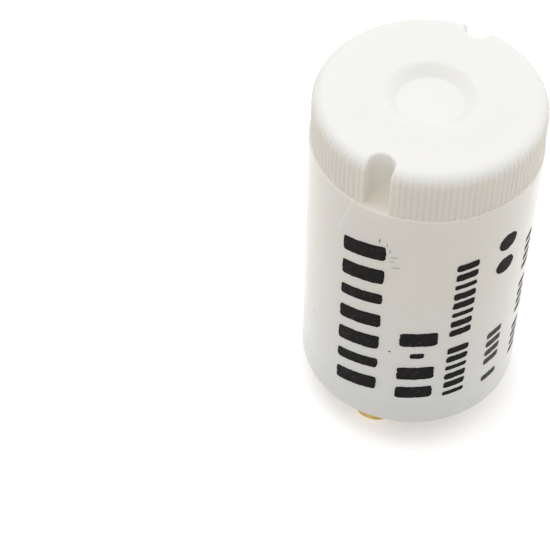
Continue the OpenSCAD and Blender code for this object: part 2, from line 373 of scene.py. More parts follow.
        # it leans 8 degrees round the barrel over its 4.7 mm
        lean = add_node(tree, "ShaderNodeMapRange", {
            "Value": axes.outputs["Z"], "From Min": self.knit_foot * MM,
            "From Max": self.knit_top * MM, "To Min": math.radians(-110),
            "To Max": math.radians(-102)}).outputs[0]
        off = add_node(tree, "ShaderNodeMath", {0: around, 1: lean},
                       operation="SUBTRACT").outputs[0]
        off = add_node(tree, "ShaderNodeMath", {0: off}, operation="ABSOLUTE").outputs[0]
        line = add_node(tree, "ShaderNodeMapRange", {
            "Value": off, "From Min": math.radians(0.2), "From Max": math.radians(1.2),
            "To Min": 0.5, "To Max": 0.0}).outputs[0]
        fade = add_node(tree, "ShaderNodeMapRange", {
            "Value": axes.outputs["Z"], "From Min": self.knit_foot * MM,
            "From Max": (self.knit_foot + 1.3) * MM}).outputs[0]
        end = add_node(tree, "ShaderNodeMath", {
            0: axes.outputs["Z"], 1: SIZES.ledge_z * MM}, operation="LESS_THAN").outputs[0]
        for share in (fade, end):
            line = add_node(tree, "ShaderNodeMath", {0: line, 1: share},
                            operation="MULTIPLY").outputs[0]
        return add_node(tree, "ShaderNodeMix", {
            0: line, 6: tint, 7: linear(self.knit)}, data_type="RGBA").outputs[2]


@dataclass(frozen=True)
class PadInk(Finish):
    """Black pad-printing ink, put on with a soft silicone pad.

    It lies as a thin dull film, a little grey where the pad left less.
    """

    name: str = "ink_pad_printed"
    ink: str = "#131011"
    thin: str = "#332E2E"

    def material(self) -> bpy.types.Material:
        """Build the ink.

        Returns:
            The finished material.
        """
        material, tree, shader, place = self.start()
        shader.inputs["IOR"].default_value = 1.5
        shader.inputs["Specular IOR Level"].default_value = 0.08
        shader.inputs["Roughness"].default_value = 0.6
        # patches of thinner film, about 0.5 mm across
        film = add_node(tree, "ShaderNodeTexNoise", {
            "Vector": place, "Scale": per_metre(0.5), "Detail": 4.0, "Roughness": 0.6})
        cover = add_node(tree, "ShaderNodeMapRange", {
            "Value": film.outputs["Fac"], "From Min": 0.5, "From Max": 0.78}).outputs[0]
        tint = add_node(tree, "ShaderNodeMix", {
            0: cover, 6: linear(self.ink), 7: linear(self.thin)}, data_type="RGBA")
        tree.links.new(tint.outputs[2], shader.inputs["Base Color"])
        bump = add_node(tree, "ShaderNodeBump", {
            "Height": film.outputs["Fac"], "Strength": 0.3, "Distance": 0.004 * MM})
        tree.links.new(bump.outputs[0], shader.inputs["Normal"])
        return material


@dataclass(frozen=True)
class PhenolicPaper(Finish):
    """Brown phenolic paper board, pressed, its faces smooth and semi-gloss.

    The resin is a little uneven, a few short scratches come from assembly, and
    grains of punching dust stick round the vent hole.
    """

    name: str = "phenolic_paper_pressed"
    resin: str = "#43262B"
    darker: str = "#351D20"
    scratch: str = "#9A8486"
    dust: str = "#C99A78"
    torn: str = "#B87850"

    def material(self) -> bpy.types.Material:
        """Build the board.

        Returns:
            The finished material.
        """
        material, tree, shader, place = self.start()
        shader.inputs["IOR"].default_value = 1.55
        shader.inputs["Specular IOR Level"].default_value = 0.25
        # resin-rich and resin-poor patches, about 2.5 mm across
        mottle = add_node(tree, "ShaderNodeTexNoise", {
            "Vector": place, "Scale": per_metre(2.5), "Detail": 5.0})
        tint = add_node(tree, "ShaderNodeMix", {
            0: mottle.outputs["Fac"], 6: linear(self.darker), 7: linear(self.resin)},
            data_type="RGBA").outputs[2]
        tint = self.scratches(tree, place, tint)
        tint = self.dusting(tree, place, tint)
        tree.links.new(tint, shader.inputs["Base Color"])
        rough = add_node(tree, "ShaderNodeMapRange", {
            "Value": mottle.outputs["Fac"], "To Min": 0.16, "To Max": 0.34}).outputs[0]
        tree.links.new(rough, shader.inputs["Roughness"])
        # the press plate's fine grain, 0.15 mm wide
        grain = add_node(tree, "ShaderNodeTexNoise", {
            "Vector": place, "Scale": per_metre(0.15), "Detail": 3.0})
        bump = add_node(tree, "ShaderNodeBump", {
            "Height": grain.outputs["Fac"], "Strength": 0.3, "Distance": 0.006 * MM})
        tree.links.new(bump.outputs[0], shader.inputs["Normal"])
        return material

    def scratches(self, tree: bpy.types.NodeTree, place: bpy.types.NodeSocket,
                  tint: bpy.types.NodeSocket) -> bpy.types.NodeSocket:
        """Draw a few short scratches, 0.03 mm wide and 1 to 3 mm long.

        Args:
            tree: the material's tree.
            place: the object coordinates.
            tint: the colour so far.

        Returns:
            The colour with the scratches on it.
        """
        bend = add_node(tree, "ShaderNodeMapping", {
            "Vector": place, "Rotation": (0, 0, -0.9), "Scale": (1.0, 0.12, 1.0)})
        lines = add_node(tree, "ShaderNodeTexNoise", {
            "Vector": bend.outputs[0], "Scale": per_metre(1.3), "Detail": 1.0,
            "Distortion": 0.6})
        ridge = add_node(tree, "ShaderNodeMath", {
            0: lines.outputs["Fac"], 1: 0.62}, operation="SUBTRACT").outputs[0]
        ridge = add_node(tree, "ShaderNodeMath", {0: ridge}, operation="ABSOLUTE").outputs[0]
        mark = add_node(tree, "ShaderNodeMapRange", {
            "Value": ridge, "From Min": 0.0, "From Max": 0.004,
            "To Min": 0.4, "To Max": 0.0}).outputs[0]
        # only where a second pattern, 3 mm wide, is high
        where = add_node(tree, "ShaderNodeTexNoise", {
            "Vector": place, "Scale": per_metre(3.0), "Detail": 1.0})
        few = add_node(tree, "ShaderNodeMapRange", {
            "Value": where.outputs["Fac"], "From Min": 0.56, "From Max": 0.66}).outputs[0]
        mark = add_node(tree, "ShaderNodeMath", {0: mark, 1: few},
                        operation="MULTIPLY").outputs[0]
        return add_node(tree, "ShaderNodeMix", {
            0: mark, 6: tint, 7: linear(self.scratch)}, data_type="RGBA").outputs[2]

    def dusting(self, tree: bpy.types.NodeTree, place: bpy.types.NodeSocket,
                tint: bpy.types.NodeSocket) -> bpy.types.NodeSocket:
        """Draw the torn edge of the vent hole and the grains of dust round it.

        Args:
            tree: the material's tree.
            place: the object coordinates.
            tint: the colour so far.

        Returns:
            The colour with edge and dust on it.
        """
        axes = add_node(tree, "ShaderNodeSeparateXYZ", {0: place})
        reach = distance(tree, axes.outputs["X"], axes.outputs["Y"])
        # fibres 0.12 mm wide that the punch lifted, up to 0.22 mm out from the hole
        fray = add_node(tree, "ShaderNodeTexNoise", {
            "Vector": place, "Scale": per_metre(0.12), "Detail": 2.0})
        edge = add_node(tree, "ShaderNodeMapRange", {
            "Value": fray.outputs["Fac"], "From Min": 0.3, "From Max": 0.7,
            "To Min": 1.5 * MM, "To Max": 1.72 * MM}).outputs[0]
        near = add_node(tree, "ShaderNodeMath", {0: reach, 1: edge},
                        operation="LESS_THAN").outputs[0]
        near = add_node(tree, "ShaderNodeMath", {0: near, 1: 0.75},
                        operation="MULTIPLY").outputs[0]
        tint = add_node(tree, "ShaderNodeMix", {
            0: near, 6: tint, 7: linear(self.torn)}, data_type="RGBA").outputs[2]
        # grains up to 0.08 mm across, 0.4 mm apart and fewer farther from the hole
        cells = add_node(tree, "ShaderNodeTexVoronoi", {
            "Vector": place, "Scale": per_metre(0.4), "Randomness": 1.0})
        grain = add_node(tree, "ShaderNodeMapRange", {
            "Value": cells.outputs["Distance"], "From Min": 0.07, "From Max": 0.1,
            "To Min": 0.8, "To Max": 0.0}).outputs[0]
        patch = add_node(tree, "ShaderNodeTexNoise", {
            "Vector": place, "Scale": per_metre(1.6), "Detail": 2.0})
        close = add_node(tree, "ShaderNodeMapRange", {
            "Value": reach, "From Min": 1.5 * MM, "From Max": 6.0 * MM,
            "To Min": 0.16, "To Max": 0.0}).outputs[0]
        many = add_node(tree, "ShaderNodeMath", {0: patch.outputs["Fac"], 1: close},
                        operation="ADD").outputs[0]
        few = add_node(tree, "ShaderNodeMapRange", {
            "Value": many, "From Min": 0.6, "From Max": 0.68}).outputs[0]
        grain = add_node(tree, "ShaderNodeMath", {0: grain, 1: few},
                         operation="MULTIPLY").outputs[0]
        return add_node(tree, "ShaderNodeMix", {
            0: grain, 6: tint, 7: linear(self.dust)}, data_type="RGBA").outputs[2]


@dataclass(frozen=True)
class CutPaper(Finish):
    """The punched edge of the phenolic board: torn fibre ends, dry and matt.

    The broken fibres make grains 0.12 mm across, from orange to dark brown.
    """

    name: str = "phenolic_paper_punched"
    pale: str = "#DB9455"
    middle: str = "#9A5424"
    dark: str = "#3E1B0A"

    def material(self) -> bpy.types.Material:
        """Build the punched edge.

        Returns:
            The finished material.
        """
        material, tree, shader, place = self.start()
        shader.inputs["Roughness"].default_value = 0.8
        torn = add_node(tree, "ShaderNodeTexNoise", {
            "Vector": place, "Scale": per_metre(0.25), "Detail": 4.0, "Roughness": 0.7})
        ends = add_node(tree, "ShaderNodeTexVoronoi", {
            "Vector": place, "Scale": per_metre(0.12), "Randomness": 1.0})
        low = add_node(tree, "ShaderNodeMapRange", {
            "Value": torn.outputs["Fac"], "From Min": 0.4, "From Max": 0.6}).outputs[0]
        tint = add_node(tree, "ShaderNodeMix", {
            0: low, 6: linear(self.dark), 7: linear(self.middle)}, data_type="RGBA")
        tip = add_node(tree, "ShaderNodeMapRange", {
            "Value": ends.outputs["Distance"], "From Min": 0.15, "From Max": 0.45,
            "To Min": 0.8, "To Max": 0.0}).outputs[0]
        tint = add_node(tree, "ShaderNodeMix", {
            0: tip, 6: tint.outputs[2], 7: linear(self.pale)}, data_type="RGBA")
        tree.links.new(tint.outputs[2], shader.inputs["Base Color"])
        bump = add_node(tree, "ShaderNodeBump", {
            "Height": torn.outputs["Fac"], "Strength": 1.0, "Distance": 0.08 * MM})
        tree.links.new(bump.outputs[0], shader.inputs["Normal"])
        return material


@dataclass(frozen=True)
class TurnedBrass(Finish):
    """Free-cutting brass, turned on an automatic lathe and left bright.

    Tool marks run round each pin's own axis, 0.07 mm apart. The end face left
    by parting off is duller, and paler as a painted reflection of the white
    floor. Brown tarnishing lies in patches, a little more of it on the neck;
    its dark brown is partly painted shade, for the dark reflections of the
    shaded floor.
    """

    name: str = "brass_turned"
    brass: str = "#D6BA6E"
    # painted reflection: the end face's pale colour stands in for its bright reflection of the
    # white floor
    parted_face_and_reflection: str = "#DFD2AE"
    # partly painted shade: the brown of real tarnishing, made dark to stand in for the dark
    # reflections of the shaded floor
    tarnish_and_shade: str = "#8A6430"

    def material(self) -> bpy.types.Material:
        """Build the brass.

        Returns:
            The finished material.
        """
        material, tree, shader, place = self.start()
        shader.inputs["Metallic"].default_value = 1.0
        axes = add_node(tree, "ShaderNodeSeparateXYZ", {0: place})
        # both pins share the pattern: |y| is measured from the pins' distance
        side = add_node(tree, "ShaderNodeMath", {0: axes.outputs["Y"]},
                        operation="ABSOLUTE").outputs[0]
        off = add_node(tree, "ShaderNodeMath", {0: side, 1: SIZES.pin_y * MM},
                       operation="SUBTRACT").outputs[0]
        radius = distance(tree, axes.outputs["X"], off)
        # radius plus height makes rings on the face and rings round the side
        along = add_node(tree, "ShaderNodeMath", {0: radius, 1: axes.outputs["Z"]},
                         operation="ADD").outputs[0]
        groove = add_node(tree, "ShaderNodeTexNoise", {
            "W": along, "Scale": per_metre(0.07), "Detail": 2.0}, noise_dimensions="1D")
        bump = add_node(tree, "ShaderNodeBump", {
            "Height": groove.outputs["Fac"], "Strength": 0.25, "Distance": 0.004 * MM})
        tree.links.new(bump.outputs[0], shader.inputs["Normal"])
        # brown patches: real tarnishing and partly painted shade for the pins' dark reflections,
        # a little more on the neck
        patch = add_node(tree, "ShaderNodeTexNoise", {
            "Vector": place, "Scale": per_metre(1.2), "Detail": 4.0, "Roughness": 0.6})
        neck = add_node(tree, "ShaderNodeMapRange", {
            "Value": axes.outputs["Z"], "From Min": 1.8 * MM, "From Max": 2.2 * MM,
            "To Max": 0.02}).outputs[0]
        many = add_node(tree, "ShaderNodeMath", {0: patch.outputs["Fac"], 1: neck},
                        operation="ADD").outputs[0]
        brown = add_node(tree, "ShaderNodeMapRange", {
            "Value": many, "From Min": 0.48, "From Max": 0.76,
            "To Max": 0.7}).outputs[0]
        tint = add_node(tree, "ShaderNodeMix", {
            0: brown, 6: linear(self.brass), 7: linear(self.tarnish_and_shade)}, data_type="RGBA")
        # the end face: duller for real, and paler as a painted reflection of the white floor
        face = add_node(tree, "ShaderNodeMapRange", {
            "Value": axes.outputs["Z"], "From Min": 0.02 * MM, "From Max": 0.05 * MM,
            "To Min": 1.0, "To Max": 0.0}).outputs[0]
        tint = add_node(tree, "ShaderNodeMix", {
            0: face, 6: tint.outputs[2], 7: linear(self.parted_face_and_reflection)}, data_type="RGBA")
        tree.links.new(tint.outputs[2], shader.inputs["Base Color"])
        bright = add_node(tree, "ShaderNodeMapRange", {
            "Value": patch.outputs["Fac"], "To Min": 0.06, "To Max": 0.24}).outputs[0]
        rough = add_node(tree, "ShaderNodeMix", {0: face, 2: bright, 3: 0.36}).outputs[0]
        tree.links.new(rough, shader.inputs["Roughness"])
        return material


@dataclass(frozen=True)
class InnerMetal(Finish):
    """A small metal part of the works: soldered, tinned or plated.

    A fine even grain roughens it, and clouds of oxide dull it.
    """

    name: str = "tin_plated"
    metal: str = "#D4D4D2"
    oxide: str = "#9C9C9A"
    grain_mm: float = 0.1
    rough: float = 0.3
    bump: float = 0.2

    def material(self) -> bpy.types.Material:
        """Build the metal.

        Returns:
            The finished material.
        """
        material, tree, shader, place = self.start()
        shader.inputs["Metallic"].default_value = 1.0
        cloud = add_node(tree, "ShaderNodeTexNoise", {
            "Vector": place, "Scale": per_metre(self.grain_mm * 8), "Detail": 4.0})
        tint = add_node(tree, "ShaderNodeMix", {
            0: cloud.outputs["Fac"], 6: linear(self.metal), 7: linear(self.oxide)},
            data_type="RGBA")
        tree.links.new(tint.outputs[2], shader.inputs["Base Color"])
        rough = add_node(tree, "ShaderNodeMapRange", {
            "Value": cloud.outputs["Fac"], "To Min": self.rough - 0.08,
            "To Max": self.rough + 0.15}).outputs[0]
        tree.links.new(rough, shader.inputs["Roughness"])
        grain = add_node(tree, "ShaderNodeTexNoise", {
            "Vector": place, "Scale": per_metre(self.grain_mm), "Detail": 2.0})
        bump = add_node(tree, "ShaderNodeBump", {
            "Height": grain.outputs["Fac"], "Strength": self.bump, "Distance": 0.01 * MM})
        tree.links.new(bump.outputs[0], shader.inputs["Normal"])
        return material


@dataclass(frozen=True)
class FilmWrap(Finish):
    """Wound polyester film under a pale yellow tape, pressed flat.

    The tape is satin, with the edges of its turns showing 1 mm apart.
    """

    name: str = "polyester_film_wound"
    tape: str = "#CDBF93"
    edge: str = "#A8975F"

    def material(self) -> bpy.types.Material:
        """Build the wrap.

        Returns:
            The finished material.
        """
        material, tree, shader, place = self.start()
        shader.inputs["IOR"].default_value = 1.6
        # the wave texture runs through 20 radians in one unit
        turns = add_node(tree, "ShaderNodeTexWave", {
            "Vector": place, "Scale": per_metre(0.987) * math.tau / 20, "Distortion": 0.8,
            "Detail": 1.0}, wave_type="BANDS", bands_direction="Z")
        blot = add_node(tree, "ShaderNodeTexNoise", {
            "Vector": place, "Scale": per_metre(1.5), "Detail": 3.0})
        both = add_node(tree, "ShaderNodeMath", {
            0: turns.outputs["Fac"], 1: blot.outputs["Fac"]}, operation="MULTIPLY").outputs[0]
        tint = add_node(tree, "ShaderNodeMix", {
            0: both, 6: linear(self.tape), 7: linear(self.edge)}, data_type="RGBA")
        tree.links.new(tint.outputs[2], shader.inputs["Base Color"])
        rough = add_node(tree, "ShaderNodeMapRange", {
            "Value": blot.outputs["Fac"], "To Min": 0.3, "To Max": 0.5}).outputs[0]
        tree.links.new(rough, shader.inputs["Roughness"])
        bump = add_node(tree, "ShaderNodeBump", {
            "Height": turns.outputs["Fac"], "Strength": 0.4, "Distance": 0.02 * MM})
        tree.links.new(bump.outputs[0], shader.inputs["Normal"])
        return material


@dataclass(frozen=True)
class BlownGlass(Finish):
    """Clear soda-lime glass, blown from tube and sealed in a flame.

    It is smooth, with a slow waviness and a faint grey film from the discharge.
    """

    name: str = "soda_lime_glass_blown"
    clear: str = "#F6FAFA"
    film: str = "#D2D4D6"

    def material(self) -> bpy.types.Material:
        """Build the glass.

        Returns:
            The finished material.
        """
        material, tree, shader, place = self.start()
        shader.inputs["IOR"].default_value = 1.52
        shader.inputs["Transmission Weight"].default_value = 1.0
        shader.inputs["Roughness"].default_value = 0.03
        wave = add_node(tree, "ShaderNodeTexNoise", {
            "Vector": place, "Scale": per_metre(2), "Detail": 1.0})
        tint = add_node(tree, "ShaderNodeMix", {
            0: wave.outputs["Fac"], 6: linear(self.clear), 7: linear(self.film)},
            data_type="RGBA")
        tree.links.new(tint.outputs[2], shader.inputs["Base Color"])
        bump = add_node(tree, "ShaderNodeBump", {
            "Height": wave.outputs["Fac"], "Strength": 0.3, "Distance": 0.03 * MM})
        tree.links.new(bump.outputs[0], shader.inputs["Normal"])
        return material


# Canister

@dataclass(frozen=True)
class Row:
    """One ring of the canister's skin: its radius, height and rib depth share."""

    r: float
    z: float
    ribs: float = 0.0


@dataclass
class Canister:
    """The moulded canister: barrel, ribbed grip band, top with its dimple.

    Its skin is one loft from the dimple over the top, down the outside, round
    the rim and up the inside; the two grip notches are then cut out of it.
    """

    rib_count: int = 120
    per_rib: int = 8
    rib_depth: float = 0.11
    groove: tuple[float, ...] = (1.0, 0.55, 0.1, 0.0, 0.0, 0.0, 0.1, 0.55)
    dimple_r: float = 4.1
    floor_r: float = 3.0
    dimple_depth: float = 0.95
    dimple_lip: float = 0.9
    dimple_foot: float = 0.3
    boss_r: float = 4.65
    boss_floor_r: float = 3.55
    pole_r: float = 0.3
    round_steps: int = 14
    rib_start: float = 0.35
    rib_grow: float = 0.5
    bead: float = 0.2
    hump_r: float = 2.0
    crease_deg: float = 50.0
    weld: float = 0.001
    finish: MouldedPolycarbonate = MouldedPolycarbonate()

    def top_rows(self) -> list[Row]:
        """Give the rows from the dimple's middle to the top's outer round.

        Returns:
            The rows, outwards.
        """
        s = SIZES
        floor_z = s.top_z - self.dimple_depth
        slope = math.degrees(math.atan2(self.dimple_depth, self.dimple_r - self.floor_r))
        half = math.tan(math.radians(slope / 2))
        points = [(r, floor_z) for r in (self.pole_r, 1.2, 2.1)]
        points += arc(self.floor_r - self.dimple_foot * half, floor_z + self.dimple_foot,
                      self.dimple_foot, -90, -90 + slope, 6)
        points += arc(self.dimple_r + self.dimple_lip * half, s.top_z - self.dimple_lip,
                      self.dimple_lip, 90 + slope, 90, 8)
        points += [(r, s.top_z) for r in (5.2, 6.2, 7.1, 7.6, 7.95, 8.25, 8.6)]
        return [Row(r, z) for r, z in points]

    def outer_rows(self) -> list[Row]:
        """Give the rows over the top's round, down band and barrel, to the rim.

        Returns:
            The rows, downwards.
        """
        s = SIZES
        rows = []
        for i, (r, z) in enumerate(arc(s.band_r - s.top_round, s.top_z - s.top_round,
                                       s.top_round, 90, 0, self.round_steps)):
            # the ribs rise smoothly out of the lower part of the round
            share = min(max((i / self.round_steps - self.rib_start) / self.rib_grow, 0.0), 1.0)
            rows.append(Row(r, z, share * share * (3 - 2 * share)))
        rows += [Row(s.band_r, z, 1.0) for z in (s.top_z - 2.0, s.ledge_z + 1.5,
                                                 s.ledge_z + 0.3, s.ledge_z + 0.05)]
        rows.append(Row(s.band_r + 0.01, s.ledge_z, 1.0))
        rows += [Row(r, z) for r, z in arc(s.barrel_r - s.ledge_round,
                                           s.ledge_z - s.ledge_round,
                                           s.ledge_round, 90, 0, 4)]
        rows += [Row(s.barrel_r, z) for z in (s.ledge_z - 0.3, 28.0, 22.0, 16.0, 10.0, 5.0)]
        rows += [Row(r, z) for r, z in arc(s.barrel_r - s.rim_round,
                                           s.rim_z + s.rim_round, s.rim_round, 0, -90, 6)]
        return rows

    def inner_rows(self) -> list[Row]:
        """Give the rows from the rim, over the snap bead, up to the underside.

        Returns:
            The rows, upwards and inwards.
        """
        s = SIZES
        under = s.top_z - s.top_t
        points = [(s.mouth_r + 0.08, s.rim_z), (s.mouth_r + 0.02, s.rim_z + 0.02),
                  (s.mouth_r, s.rim_z + 0.08), (s.mouth_r, s.disc_z - 0.5),
                  (s.mouth_r - self.bead, s.disc_z - 0.25),
                  (s.mouth_r - self.bead, s.disc_z - 0.02),
                  (s.mouth_r, s.disc_z), (s.mouth_r, s.disc_top), (s.inner_r, s.disc_top)]
        points += [(s.inner_r, z) for z in (12.0, 22.0, s.ledge_z - 1.5, s.ledge_z - 0.4)]
        points += arc(s.inner_r - s.top_round, under - s.top_round, s.top_round, 0, 90, 6)
        points += [(self.boss_r, under), (self.boss_floor_r, under - self.dimple_depth),
                   (self.pole_r, under - self.dimple_depth)]
        return [Row(r, z) for r, z in points]

    def row_place(self, row: Row, inside: bool) -> Callable[[int], Vector]:
        """Make the function that gives the places of a row's points.

        Args:
            row: the row.
            inside: whether it lies inside, where the wall keeps clear of the notches.

        Returns:
            A function from a point's number to its place.
        """
        columns = self.rib_count * self.per_rib

        def place(number: int) -> Vector:
            """Give the place of one point of this row.

            Args:
                number: the point's number, counted from the +X side.

            Returns:
                Its place in millimetres.
            """
            angle = math.tau * number / columns
            radius = row.r - self.rib_depth * row.ribs * self.groove[number % self.per_rib]
            if inside and row.z > SIZES.ledge_z - 0.5:
                # the hump that keeps a 0.8 mm wall behind each notch
                across = SIZES.inner_r * abs(math.cos(angle))
                if across < self.hump_r:
                    depth = math.sqrt(self.hump_r ** 2 - across * across)
                    reach = SIZES.inner_r * abs(math.sin(angle)) - depth
                    radius = min(radius, reach)
            return Vector((radius * math.cos(angle), radius * math.sin(angle), row.z))

        return place

    def build(self) -> bpy.types.Object:
        """Build, cut and dress the canister.

        Returns:
            The finished piece.
        """
        rows = [self.row_place(row, False) for row in self.top_rows() + self.outer_rows()]
        rows += [self.row_place(row, True) for row in self.inner_rows()]
        bm = loft(self.rib_count * self.per_rib, rows, True)
        material = self.finish.material()
        # the second slot only marks the faces that the cutters leave
        piece = new_piece("canister_shell", bm, [material, material], self.crease_deg)
        for turn in (0.0, math.pi):
            self.cut(piece, NotchCutter().build(turn))
        self.tidy(piece)
        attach(piece, BODY)
        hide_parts("canister")
        log.info("%s cut: %d faces", piece.name, len(piece.data.polygons))
        return piece

    def cut(self, piece: bpy.types.Object, cutter: bpy.types.Object) -> None:
        """Cut one notch out of the canister, and remove the cutter.

        Args:
            piece: the canister, which keeps its name.
            cutter: the notch's room, its faces on the second material slot.
        """
        cut = piece.modifiers.new("notch", "BOOLEAN")
        cut.operation, cut.solver, cut.object = "DIFFERENCE", "MANIFOLD", cutter
        graph = bpy.context.evaluated_depsgraph_get()
        mesh = bpy.data.meshes.new_from_object(piece.evaluated_get(graph))
        piece.modifiers.clear()
        old, piece.data = piece.data, mesh
        bpy.data.meshes.remove(old)
        bpy.data.objects.remove(cutter)
        mesh.name = piece.name

    def tidy(self, piece: bpy.types.Object) -> None:
        """Clean the seams that the cuts left, and keep them crisp.

        Args:
            piece: the cut canister, which is left with one material slot.
        """
        bm = bmesh.new()
        bm.from_mesh(piece.data)
        bmesh.ops.remove_doubles(bm, verts=bm.verts, dist=self.weld * MM)
        bmesh.ops.triangulate(bm, faces=[f for f in bm.faces if len(f.verts) > 4])
        for face in bm.faces:
            face.smooth = True
        crease = math.radians(self.crease_deg)
        for edge in bm.edges:
            sides = {face.material_index for face in edge.link_faces}
            edge.smooth = len(sides) < 2 and edge.calc_face_angle(0.0) < crease
        for face in bm.faces:
            face.material_index = 0
        bm.to_mesh(piece.data)
        bm.free()
        piece.data.materials.pop()


@dataclass
class NotchCutter:
    """The room of one grip notch, as a solid to cut away.

    In plan it is a channel with a round inner end. It flares where it comes
    out at the top and at the side, which leaves soft edges on the canister.
    """

    half_w: float = 1.2
    inner: float = 8.4
    foot: float = 1.7
    lip: float = 0.22
    corner: float = 0.25
    outer: float = 10.9
    turn_deg: float = 65.0
    fillet: float = 0.15
    above: float = 1.2
    run_out: float = 0.4
    spread: float = 0.9
    floor_in: tuple[float, ...] = (0.4, 0.7, 0.95, 1.15)
    round_steps: int = 28
    lip_steps: int = 5
    fillet_steps: int = 3

    def plan(self) -> list[tuple[float, float, float, float]]:
        """Give the outline in plan.

        Returns:
            For each point its x and its distance outwards, and the direction
            in which a wider outline lies.
        """
        centre = self.inner + self.half_w
        corner_v = math.sqrt(SIZES.band_r ** 2 - self.half_w ** 2) - self.corner * 0.9
        tilt = math.radians(self.turn_deg)

        def flare(v: float) -> float:
            """Give how much wider the channel is at a distance outwards.

            Args:
                v: the distance from the axis.

            Returns:
                The added half width.
            """
            over = v - corner_v
            if over <= 0:
                return 0.0
            limit = self.corner * math.sin(tilt)
            bow = min(over, limit)
            wide = self.corner - math.sqrt(self.corner ** 2 - bow ** 2)
            return wide + max(over - limit, 0.0) * math.tan(tilt)

        # the points lie closer together where the edge is rounded
        near = [centre, centre + 0.15, centre + 0.3]
        far = [corner_v + self.corner * f for f in (0.0, 0.25, 0.5, 0.7, 0.85)]
        side = near + far + [corner_v + 0.24, corner_v + 0.35, self.outer]
        points = [(self.half_w + flare(v), v, 1.0, 0.0) for v in reversed(side)]
        for i in range(1, self.round_steps):
            angle = -math.pi * i / self.round_steps
            points.append((self.half_w * math.cos(angle), centre + self.half_w * math.sin(angle),
                           math.cos(angle), math.sin(angle)))
        points += [(-x, v, -1.0, 0.0) for x, v, _, _ in reversed(points[:len(side)])]
        return points

    def surface(self, x: float, v: float) -> float:
        """Give the height of the canister's top over a place in plan.

        Args:
            x: the place, across the notch.
            v: the place, outwards.

        Returns:
            The height of the flat top or of its outer round.
        """
        inset = SIZES.band_r - math.hypot(x, v)
        big = SIZES.top_round
        if inset >= big:
            return SIZES.top_z
        return SIZES.top_z - big + math.sqrt(max(big ** 2 - (big - max(inset, 0.0)) ** 2, 0.0))

    def floor(self, v: float) -> float:
        """Give the height of the notch's rounded foot at a distance outwards."""
        over = min(max(self.foot - (v - self.inner), 0.0), self.foot)
        return SIZES.ledge_z + 0.01 + self.foot - math.sqrt(self.foot ** 2 - over ** 2)

    def build(self, turn: float) -> bpy.types.Object:
        """Build the cutter.

        Args:
            turn: the angle about Z from the +Y side.

        Returns:
            The cutter as an object.
        """
        plan = self.plan()
        spin = Matrix.Rotation(turn, 4, "Z")

        def row(widen: float, height: Callable[[float, float], float]) -> Callable[[int], Vector]:
            """Make one row of the cutter.

            Args:
                widen: how much wider than the channel it is.
                height: its height over a place in plan.

            Returns:
                A function from a point's number to its place.
            """
            def place(number: int) -> Vector:
                """Give the place of one point of this row."""
                x, v, out_x, out_v = plan[number]
                x, v = x + out_x * widen, v + out_v * widen
                return spin @ Vector((x, v, height(x, v)))
            return place

        rows = [row(self.spread, lambda x, v: SIZES.top_z + self.above)]
        tilt = math.radians(self.turn_deg)
        wide = self.lip * (1 - math.cos(tilt))
        deep = self.lip * (1 - math.sin(tilt))
        rows.append(row(wide + self.run_out * math.sin(tilt),
                        lambda x, v: self.surface(x, v) - deep + self.run_out * math.cos(tilt)))
        for i in range(self.lip_steps + 1):
            at = tilt * (1 - i / self.lip_steps)
            rows.append(row(self.lip * (1 - math.cos(at)),
                            lambda x, v, d=self.lip * (1 - math.sin(at)): self.surface(x, v) - d))
        rows.append(row(0.0, lambda x, v: self.floor(v) + self.above))
        for i in range(self.fillet_steps + 1):
            at = math.pi / 2 * i / self.fillet_steps
            rows.append(row(-self.fillet * (1 - math.cos(at)),
                            lambda x, v, d=self.fillet * (1 - math.sin(at)): self.floor(v) + d))
        rows += [row(-inwards, lambda x, v: self.floor(v)) for inwards in self.floor_in]
        bm = loft(len(plan), rows, False)
        for face in bm.faces:
            face.material_index = 1
        return new_piece("notch_cutter", bm, [])


# Print

class Mark(Enum):
    """The simple shapes that the print is made of."""

    BAR = "bar"
    DOT = "dot"


@dataclass(frozen=True)
class Patch:
    """One printed shape, flat: across is along the circumference, up is along Z.

    A bar has corners of round_r, and a dot is as round as its size allows.
    """

    kind: Mark
    across: float
    up: float
    width: float
    height: float
    slant: float = 0.0
    round_r: float = 0.15


